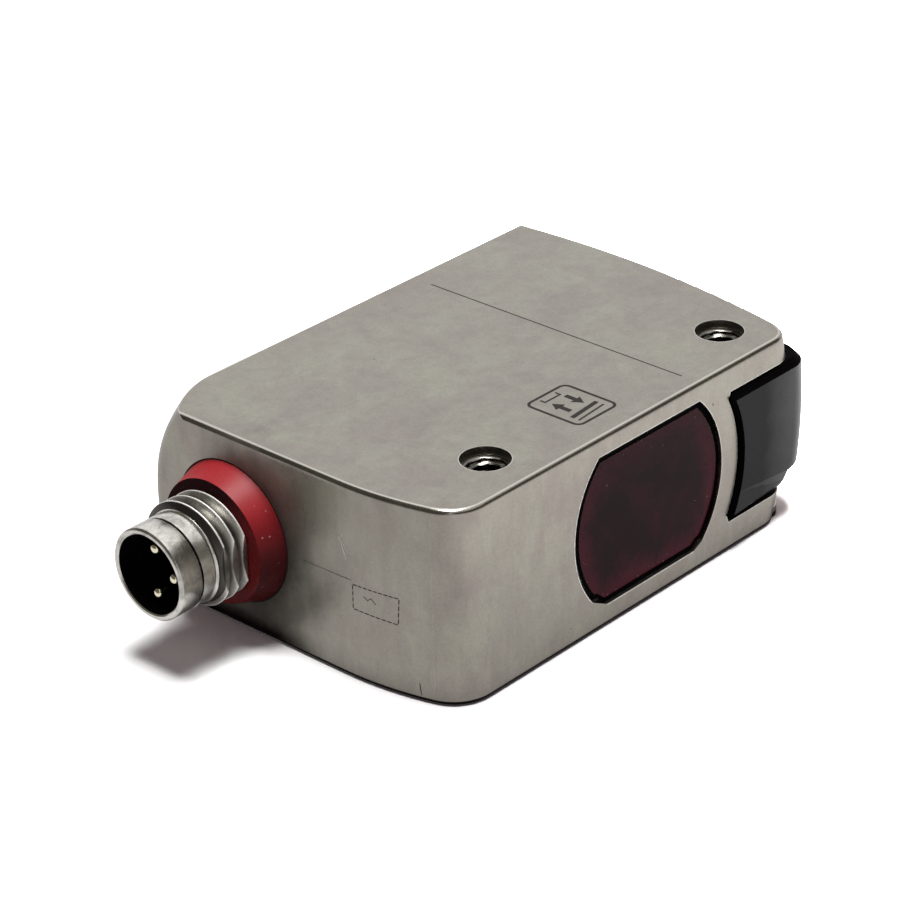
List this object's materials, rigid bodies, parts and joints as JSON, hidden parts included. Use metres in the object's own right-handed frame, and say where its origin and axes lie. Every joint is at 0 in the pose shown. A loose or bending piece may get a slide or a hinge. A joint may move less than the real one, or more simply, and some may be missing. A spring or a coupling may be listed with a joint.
{
  "type": "laser photoelectric sensor",
  "caption": "Small stainless laser distance sensor with a lens window in one narrow side, a smoked indicator cover round one end and a threaded plug connector at the other.",
  "frame": {"origin": "midpoint of the two mounting holes on the bottom large face", "axes": "+X from the connector end to the indicator end, +Y from the lens face to the back face, +Z along the mounting holes to the top large face"},
  "size_m": [0.0501, 0.0282, 0.0151],
  "materials": {
    "case_steel": "satin, bead-blasted",
    "turned_steel": "turned, bright",
    "filter": "dark red filter",
    "smoke": "smoked, satin",
    "clear": "clear",
    "frame_plastic": "matt black",
    "seal_rubber": "matt black",
    "collar_rubber": "satin red",
    "board": "green laminate",
    "brass": "machined",
    "gold": "gold plated",
    "flex": "amber film",
    "lamp": "pale yellow"
  },
  "bodies": {
    "body": {"housing": "case_steel", "base_plate": "case_steel", "sleeve_connector_end": "turned_steel", "sleeve_indicator_end": "turned_steel", "lens_window": "filter", "window_seal": "seal_rubber", "optics_frame": "frame_plastic", "receiver_lens": "clear", "laser_lens": "clear", "laser_barrel": "brass", "laser_diode": "gold", "image_sensor": "frame_plastic", "main_board": "board", "board_screws": "turned_steel", "indicator_board": "board", "indicator_leds": "lamp", "light_guide": "clear", "tact_switch": "frame_plastic", "indicator_cover": "smoke", "cover_seal": "seal_rubber", "connector_shell": "turned_steel", "collar_ring": "collar_rubber", "connector_oring": "seal_rubber", "connector_nut": "brass", "connector_insert": "frame_plastic", "contact_pins": "gold", "connector_board": "board", "flex_lead": "flex"},
    "button": {"teach_button": "frame_plastic", "switch_plunger": "frame_plastic"}
  },
  "joints": [
    {"name": "button_press", "type": "slide", "parent": "body", "child": "button", "axis": [-1, 0, 0], "range_m": [0, 0.0003], "stiffness_N_per_m": 6000}
  ]
}
